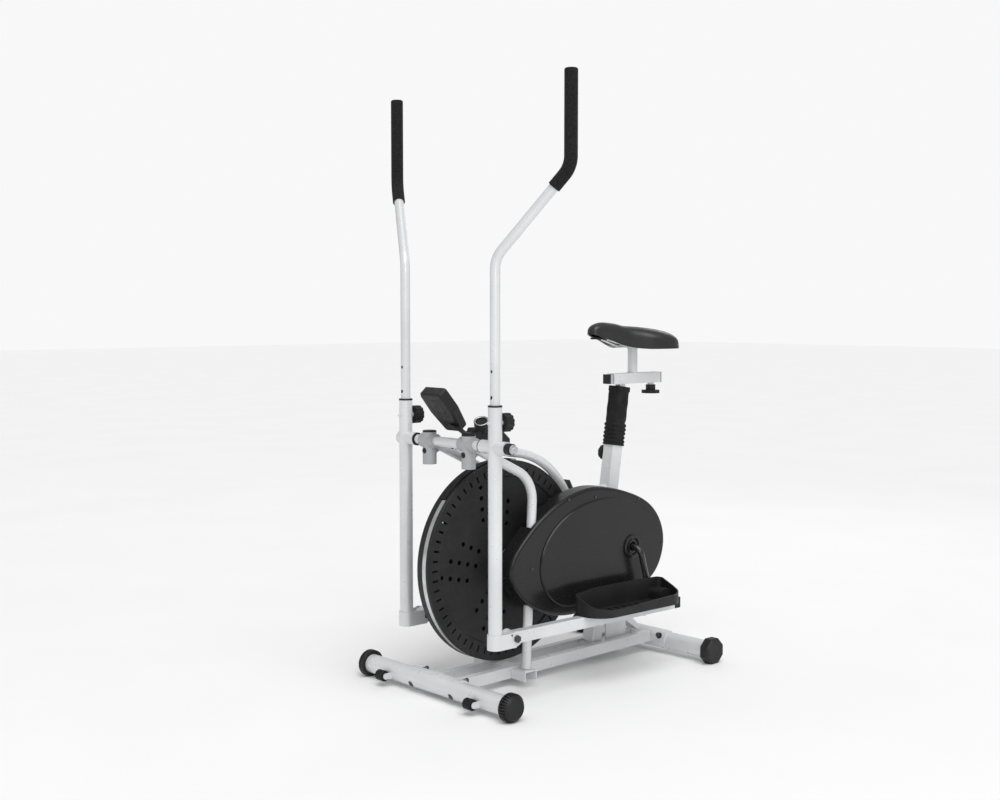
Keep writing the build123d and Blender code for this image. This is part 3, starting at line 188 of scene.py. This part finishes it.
def foam(name, color):
    """Closed-cell foam: small open pores and hardly any gloss."""
    mat, shader = new_material(name, color, 0.85, sheen=0.04, specular=0.12)
    where = coordinates(mat)
    pores = cells(mat, where, 900.0)
    vary_color(mat, shader, noise(mat, where, 220.0), shade(color, 0.7), shade(color, 1.5))
    add_bump(mat, shader, pores, 0.6, 0.0008)
    return mat


def vinyl(name, color):
    """Soft vinyl with a leather grain of small cells."""
    mat, shader = new_material(name, color, 0.34, coat=0.1, specular=0.5)
    where = coordinates(mat)
    vary_color(mat, shader, noise(mat, where, 18.0), shade(color, 0.85), shade(color, 1.2))
    vary_roughness(mat, shader, noise(mat, where, 90.0), 0.28, 0.4)
    add_bump(mat, shader, cells(mat, where, 620.0, "DISTANCE_TO_EDGE"), 0.1, 0.0004)
    return mat


def rubber(name, color):
    """Moulded rubber: cloudy, matt and finely rough."""
    mat, shader = new_material(name, color, 0.6, sheen=0.03, specular=0.2)
    where = coordinates(mat)
    vary_color(mat, shader, noise(mat, where, 35.0), shade(color, 0.75), shade(color, 1.35))
    vary_roughness(mat, shader, noise(mat, where, 120.0), 0.5, 0.72)
    add_bump(mat, shader, noise(mat, where, 1400.0, 3.0), 0.3, 0.0004)
    return mat


def display_window(name, color):
    """The console's window over its grey-green display."""
    mat, shader = new_material(name, color, 0.08, coat=1.0)
    where = coordinates(mat)
    vary_color(mat, shader, noise(mat, where, 60.0), shade(color, 0.9), shade(color, 1.1))
    add_bump(mat, shader, noise(mat, where, 20.0), 0.03, 0.001)
    return mat


MATERIALS = {
    "silver_paint": painted("silver_paint", (0.70, 0.71, 0.72)),
    "socket_grey": painted("socket_grey", (0.40, 0.41, 0.42), roughness=0.5, peel=0.55, coat=0.0),
    "steel": zinc("steel", (0.68, 0.69, 0.70)),
    "black_plastic": grained_plastic("black_plastic", (0.014, 0.014, 0.0145)),
    "cover_plastic": glossy_plastic("cover_plastic", (0.012, 0.012, 0.0125)),
    "crank_black": painted("crank_black", (0.014, 0.014, 0.015), roughness=0.25, peel=0.1, coat=0.5),
    "foam": foam("foam", (0.014, 0.014, 0.015)),
    "vinyl": vinyl("vinyl", (0.013, 0.013, 0.014)),
    "rubber": rubber("rubber", (0.009, 0.009, 0.009)),
    "display": display_window("display", (0.16, 0.19, 0.16)),
}


def wear(obj, slot_name):
    """Give a piece the material and the record's slot of this name."""
    obj.data.materials.clear()
    obj.data.materials.append(MATERIALS[slot_name])


for node, obj in frame["nodes"].items():
    wear(obj, slot_of[node])


# ---- mesh helpers ----

def mesh_object(name, verts, faces, slot_name, body, smooth=True):
    """A piece from vertices and faces, which rides on a body."""
    mesh = bpy.data.meshes.new(name)
    mesh.from_pydata([tuple(v) for v in verts], [], faces)
    mesh.validate()
    mesh.update()
    obj = bpy.data.objects.new(name, mesh)
    bpy.context.scene.collection.objects.link(obj)
    wear(obj, slot_name)
    if smooth:
        for face in mesh.polygons:
            face.use_smooth = True
    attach(obj, body)
    return obj


def loft(rings, close_ends=True):
    """Faces between rings of the same number of points, with a fan over each end."""
    count = len(rings[0])
    verts = [v for ring in rings for v in ring]
    faces = []
    for r in range(len(rings) - 1):
        for k in range(count):
            a, b = r * count + k, r * count + (k + 1) % count
            faces.append((a, b, b + count, a + count))
    if close_ends:
        faces.append(tuple(reversed(range(count))))
        faces.append(tuple(range(len(verts) - count, len(verts))))
    return verts, faces


def smooth_key(keys, x):
    """A smooth curve through (x, value) keys, whose slope at a key is the mean of its neighbours'."""
    count = len(keys)
    slopes = [(keys[k + 1][1] - keys[k][1]) / (keys[k + 1][0] - keys[k][0]) for k in range(count - 1)]
    tangents = [slopes[0]]
    for before, after in zip(slopes, slopes[1:]):
        tangents.append(0.0 if before * after <= 0 else 2 * before * after / (before + after))
    tangents.append(slopes[-1])
    if x <= keys[0][0]:
        return keys[0][1]
    for k in range(count - 1):
        (x0, v0), (x1, v1) = keys[k], keys[k + 1]
        if x <= x1:
            span = x1 - x0
            t = (x - x0) / span
            start, end = v0 * (1 + 2 * t) * (1 - t) ** 2, v1 * t * t * (3 - 2 * t)
            return start + end + span * (tangents[k] * t * (1 - t) ** 2 - tangents[k + 1] * t * t * (1 - t))
    return keys[-1][1]


def frame_along(axis):
    """Two directions square to an axis."""
    axis = Vector(axis).normalized()
    helper = Vector((0, 1, 0)) if abs(axis.y) < 0.9 else Vector((1, 0, 0))
    u = axis.cross(helper).normalized()
    return u, axis.cross(u).normalized()


def turned(name, origin, axis, profile, slot_name, body, steps=40):
    """A turned piece: (radius, height) pairs about an axis through origin."""
    u, v = frame_along(axis)
    axis = Vector(axis).normalized()
    rings = []
    for radius, height in profile:
        ring = []
        for k in range(steps):
            a = 2 * pi * k / steps
            ring.append(Vector(origin) + axis * height + (u * cos(a) + v * sin(a)) * radius)
        rings.append(ring)
    verts, faces = loft(rings)
    return mesh_object(name, verts, faces, slot_name, body)


def weld_ring(name, center, axis, radius, body, bead=2.2):
    """A fillet weld round a tube, rippled as a hand-laid bead is; the bead's size is in mm."""
    u, v = frame_along(axis)
    axis = Vector(axis).normalized()
    steps, sides, rings = 96, 8, []
    ripple, ripples, flatten = 0.18, 26, 0.9
    for k in range(steps):
        a = 2 * pi * k / steps
        out = u * cos(a) + v * sin(a)
        size = bead * MM * (1 + ripple * sin(a * ripples))
        ring = []
        for s in range(sides):
            b = 2 * pi * s / sides
            ring.append(Vector(center) + out * (radius + size * cos(b) * flatten) + axis * size * sin(b))
        rings.append(ring)
    rings.append(rings[0])
    verts, faces = loft(rings, close_ends=False)
    return mesh_object(name, verts, faces, "silver_paint", body)


# ---- saddle ----

def saddle_rings():
    """Cross-sections of the saddle's skin, nose to tail: a crown, a lower lip and a hollow underside."""
    low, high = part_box("saddle")
    nose, length = high.x, high.x - low.x
    half_width = [(0, 3), (3, 12), (10, 18), (25, 23), (75, 30), (115, 42), (150, 60), (190, 84), (220, 95),
                  (250, 98), (272, 92), (283, 78), (288, 60), (290, 44)]
    top = [(0, 930), (4, 937), (14, 946), (45, 953.5), (85, 951), (125, 944), (165, 941.5), (220, 936),
           (255, 930), (275, 922), (285, 911), (290, 898)]
    rim = [(0, 921), (30, 911), (60, 903), (100, 889), (140, 880.5), (180, 877.5), (290, 878)]
    stations = [0, 1.5, 4, 8, 14, 22] + list(range(30, 260, 8)) + [262, 269, 275, 280, 284, 287, 289, 290]
    lip, flare, wall, hollow = 4.0, 1.0, 7.0, 22
    dip_depth, dip_at, dip_length, dip_width = 2.4, 200, 90, 22
    side_roundness, crown_roundness, steps = 0.82, 0.62, 22
    rings = []
    for s in stations:
        w, t, b = (smooth_key(keys, s) for keys in (half_width, top, rim))
        x = nose - s * length / SADDLE_LENGTH
        ring = []
        dip = dip_depth * max(0.0, 1 - abs(s - dip_at) / dip_length)
        for k in range(steps + 1):
            a = -pi / 2 + pi * k / steps
            y = w * (1 if a >= 0 else -1) * abs(sin(a)) ** side_roundness
            z = b + lip + (t - b - lip) * max(0.0, cos(a)) ** crown_roundness
            z -= dip * max(0.0, 1 - abs(y) / dip_width) ** 2
            ring.append(Vector((x, y * MM, z * MM)))
        underside = ((w + flare, b + 2.5),
                     (w + flare * 0.5, b),
                     (max(w - 4, w * 0.6), b - 0.3),
                     (max(w - wall, w * 0.4), b + 4),
                     (max(w - wall - 1, w * 0.35), min(b + hollow, t - 5)))
        for side_y, side_z in underside:
            ring.append(Vector((x, side_y * MM, side_z * MM)))
        inner = [Vector((p.x, -p.y, p.z)) for p in reversed(ring[-len(underside):])]
        rings.append(ring + inner)
    return rings


def build_saddle():
    """The padded saddle's vinyl skin."""
    verts, faces = loft(saddle_rings())
    skin = mesh_object("saddle_skin", verts, faces, "vinyl", "saddle")
    subdivide = skin.modifiers.new("smooth", "SUBSURF")
    subdivide.levels = 1
    subdivide.render_levels = 2
    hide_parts("saddle")
    return skin


# ---- bellows ----

def boot_half(along, length):
    """Half the boot's width at a distance along it: a cuff at each end, pleats near its foot, plain sides."""
    pleat, pleats, foot = 0.0115, 5, 0.006
    plain, cuff, cuff_length = 0.0222, 0.0238, 0.014
    valley, fold, fold_roundness, ease_length = 0.0207, 0.0034, 0.6, 0.01
    if along > length - cuff_length:
        return cuff
    if along < foot:
        return cuff
    if along < foot + pleat * pleats:
        phase = (along - foot) / pleat
        return valley + fold * abs(sin(pi * phase)) ** fold_roundness
    ease = min(1.0, (along - foot - pleat * pleats) / ease_length)
    return valley + (plain - valley) * ease


def build_bellows():
    """The square boot: crimped sides, a cuff at each end and pleats low down, where it gathers."""
    low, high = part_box("bellows")
    axis = Vector((-sin(LEAN), 0, cos(LEAN)))
    across = Vector((cos(LEAN), 0, sin(LEAN)))
    width = Vector((0, 1, 0))
    start_z, end_z = low.z + 4 * MM, high.z + 1 * MM
    middle = Vector(((low.x + high.x) / 2, 0, (start_z + end_z) / 2))
    length = (end_z - start_z) / cos(LEAN)
    squareness = 7
    crimp_depth, crimps, crimp_in, crimp_out = 0.0007, 20, 0.05, 0.02
    sag_depth, sags = 0.0004, 160
    count, sides, rings = 150, 96, []
    for k in range(count + 1):
        along = k / count * length
        half = boot_half(along, length)
        ring = []
        for s in range(sides):
            a = 2 * pi * (s + 0.5) / sides
            c, d = cos(a), sin(a)
            grow = 1 / (abs(c) ** squareness + abs(d) ** squareness) ** (1 / squareness)
            fade = min(1.0, along / crimp_in), min(1.0, (length - along) / crimp_out)
            crimp = crimp_depth * sin(a * crimps) * fade[0] * fade[1]
            sag = sag_depth * sin(along * sags + 3 * a)
            reach = half * grow + crimp + sag
            ring.append(middle + axis * (along - length / 2) + (across * c + width * d) * reach)
        rings.append(ring)
    verts, faces = loft(rings)
    boot = mesh_object("bellows_boot", verts, faces, "rubber", "frame")
    boot.parent = None
    boot.matrix_world = Matrix.Identity(4)
    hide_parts("bellows")
    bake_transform(boot)
    return boot


# ---- small pieces ----

def button_head(name, origin, axis, radius, slot_name, body):
    """A low domed screw head."""
    rows, dome, pole = 7, 0.5, 0.04
    profile = [(radius * 0.98, 0)]
    for k in range(1, rows + 1):
        a = pi / 2 * k / rows
        profile.append((max(radius * cos(a), radius * pole), radius * dome * sin(a)))
    return turned(name, origin, axis, profile, slot_name, body, 24)


def socket_screws():
    """A black domed screw in the front of each tee."""
    low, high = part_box("t_sockets")
    height, sink, radius = 35.5 * MM, 0.9 * MM, 7.5 * MM
    for label, y in (("left", SOCKET_Y), ("right", -SOCKET_Y)):
        place = (high.x - sink, y, low.z + height)
        button_head(f"{label}_socket_screw", place, (1, 0, 0), radius, "black_plastic", "frame")


def arm_marks():
    """On each side: a dark stop screw on the handle above the arm, and a small screw above the arm's yoke."""
    for label in ("left", "right"):
        low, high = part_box(f"{label}_arm")
        handle_at = joint_at[f"{label}_handle_height"]
        stop_at = (handle_at.x + HANDLE_RADIUS - 0.3 * MM, handle_at.y, high.z + 22 * MM)
        button_head(f"{label}_stop_screw", stop_at, (1, 0, 0), 3.2 * MM, "rubber", f"{label}_handle")
        link_at = joint_at[f"{label}_link_pitch"]
        outward = 1 if handle_at.y > 0 else -1
        yoke_at = (link_at.x + 16 * MM, handle_at.y + outward * ARM_SIDE, low.z + 33 * MM)
        button_head(f"{label}_yoke_screw", yoke_at, (0, outward, 0), 2.6 * MM, "rubber", f"{label}_arm")


def ring_piece(name, center, axis, radius, thickness, slot_name, body):
    """A plain round ring of wire."""
    u, v = frame_along(axis)
    axis = Vector(axis).normalized()
    steps, sides, rings = 72, 16, []
    for k in range(steps + 1):
        a = 2 * pi * k / steps
        out = u * cos(a) + v * sin(a)
        ring = []
        for s in range(sides):
            b = 2 * pi * s / sides
            ring.append(Vector(center) + out * (radius + thickness * cos(b)) + axis * thickness * sin(b))
        rings.append(ring)
    verts, faces = loft(rings, close_ends=False)
    return mesh_object(name, verts, faces, slot_name, body)


def open_ring(name, origin, axis, profile, slot_name, body, steps=72):
    """A turned ring whose profile closes on itself, so its middle stays open."""
    u, v = frame_along(axis)
    axis = Vector(axis).normalized()
    rings = []
    for k in range(steps + 1):
        a = 2 * pi * k / steps
        out = u * cos(a) + v * sin(a)
        rings.append([Vector(origin) + out * radius + axis * height for radius, height in profile])
    verts, faces = loft(rings, close_ends=False)
    return mesh_object(name, verts, faces, slot_name, body, smooth=False)


def knob_half_height(low, high, axis):
    """Half the height of a turned knob along its axis, from its box and its radius."""
    radius = (high.y - low.y) / 2
    lean = abs(axis.x)
    steep = 0.2
    return ((high.x - low.x) / 2 - radius * abs(axis.z)) / lean if lean > steep else (high.z - low.z) / 2


def knob_trim():
    """The bright ring round the tension knob's face."""
    axis = Vector(joint_axis["tension_knob_turn"]).normalized()
    low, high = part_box("tension_knob")
    middle = (low + high) / 2
    center = joint_at["tension_knob_turn"]
    center = center + axis * ((middle - center).dot(axis) + knob_half_height(low, high, axis) - 0.6 * MM)
    ring_piece("tension_knob_ring", center, axis, 17.0 * MM, 1.9 * MM, "steel", "tension_knob")


def cover_boss():
    """The stepped ring round the crank's hole in the cover."""
    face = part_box("chain_cover")[1].y
    x, z = joint_at["crank_spin"].x, joint_at["crank_spin"].z
    steps_mm = [(33, -3), (33, 0.4), (31, 1.6), (25, 1.8), (23, 0.4), (23, -3)]
    profile = [(radius * MM, height * MM) for radius, height in steps_mm]
    open_ring("cover_boss", (x, face, z), (0, 1, 0), profile, "cover_plastic", "frame")


def welds():
    """The weld round the foot of the saddle's stem."""
    slider_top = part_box("slider_plug")[1].z
    stem = (joint_at["saddle_fore_aft"].x, 0, slider_top + 0.3 * MM)
    weld_ring("stem_weld", stem, (0, 0, 1), STEM_RADIUS, "saddle", bead=1.8)


build_saddle()
build_bellows()
socket_screws()
arm_marks()
knob_trim()
cover_boss()
welds()


# ---- room ----

def build_floor():
    """A wide pale floor."""
    half = 30
    verts = [(-half, -half, 0), (half, -half, 0), (half, half, 0), (-half, half, 0)]
    mesh = bpy.data.meshes.new("floor")
    mesh.from_pydata(verts, [], [(0, 1, 2, 3)])
    floor = bpy.data.objects.new("floor", mesh)
    bpy.context.scene.collection.objects.link(floor)
    mat, shader = new_material("floor", (0.93, 0.93, 0.93), 0.7, specular=0.2)
    vary_color(mat, shader, noise(mat, coordinates(mat), 2.0), (0.925, 0.925, 0.925), (0.94, 0.94, 0.94))
    floor.data.materials.append(mat)


def area_light(name, place, target, size, power):
    """A round soft light aimed at a point; its power is in watts."""
    data = bpy.data.lights.new(name, "AREA")
    data.shape = "DISK"
    data.size = size
    data.energy = power
    light = bpy.data.objects.new(name, data)
    light.location = place
    light.rotation_euler = (Vector(target) - Vector(place)).to_track_quat("-Z", "Y").to_euler()
    bpy.context.scene.collection.objects.link(light)


def build_world():
    """A pale backdrop, with a softer ambient light than the backdrop is bright."""
    world = bpy.data.worlds.new("studio")
    world.use_nodes = True
    nodes, links = world.node_tree.nodes, world.node_tree.links
    ambient = nodes["Background"]
    ambient.inputs["Color"].default_value = (1.0, 1.0, 1.0, 1.0)
    ambient.inputs["Strength"].default_value = 0.52
    backdrop = nodes.new("ShaderNodeBackground")
    backdrop.inputs["Color"].default_value = (0.94, 0.94, 0.94, 1.0)
    seen = nodes.new("ShaderNodeLightPath")
    choose = nodes.new("ShaderNodeMixShader")
    links.new(seen.outputs["Is Camera Ray"], choose.inputs["Fac"])
    links.new(ambient.outputs["Background"], choose.inputs[1])
    links.new(backdrop.outputs["Background"], choose.inputs[2])
    links.new(choose.outputs["Shader"], nodes["World Output"].inputs["Surface"])
    bpy.context.scene.world = world
    bpy.context.scene.view_settings.view_transform = "Standard"


def sun_light():
    """A wide sun stands in for a large softbox overhead: it lights the whole floor evenly."""
    data = bpy.data.lights.new("softbox", "SUN")
    data.energy = 1.74
    data.angle = radians(50)
    light = bpy.data.objects.new("softbox", data)
    light.rotation_euler = Vector((-0.25, -0.55, -1.0)).to_track_quat("-Z", "Y").to_euler()
    bpy.context.scene.collection.objects.link(light)


def build_camera():
    """The camera stands ahead and to the left, at chest height, and looks slightly down."""
    data = bpy.data.cameras.new("camera")
    data.lens = 48.85
    data.sensor_width = 36.0
    camera = bpy.data.objects.new("camera", data)
    heading, pitch = radians(228.065), radians(-3.796)
    aim = Vector((cos(pitch) * cos(heading), cos(pitch) * sin(heading), sin(pitch)))
    camera.location = (2.5525, 2.645, 0.988)
    camera.rotation_euler = aim.to_track_quat("-Z", "Y").to_euler()
    bpy.context.scene.collection.objects.link(camera)
    bpy.context.scene.camera = camera


build_floor()
build_world()
build_camera()
sun_light()
area_light("key", (2.2, 3.4, 1.9), (0, 0, 0.6), 1.6, 20)
area_light("rim", (-3.0, -1.2, 2.2), (0, 0, 0.7), 1.2, 5)
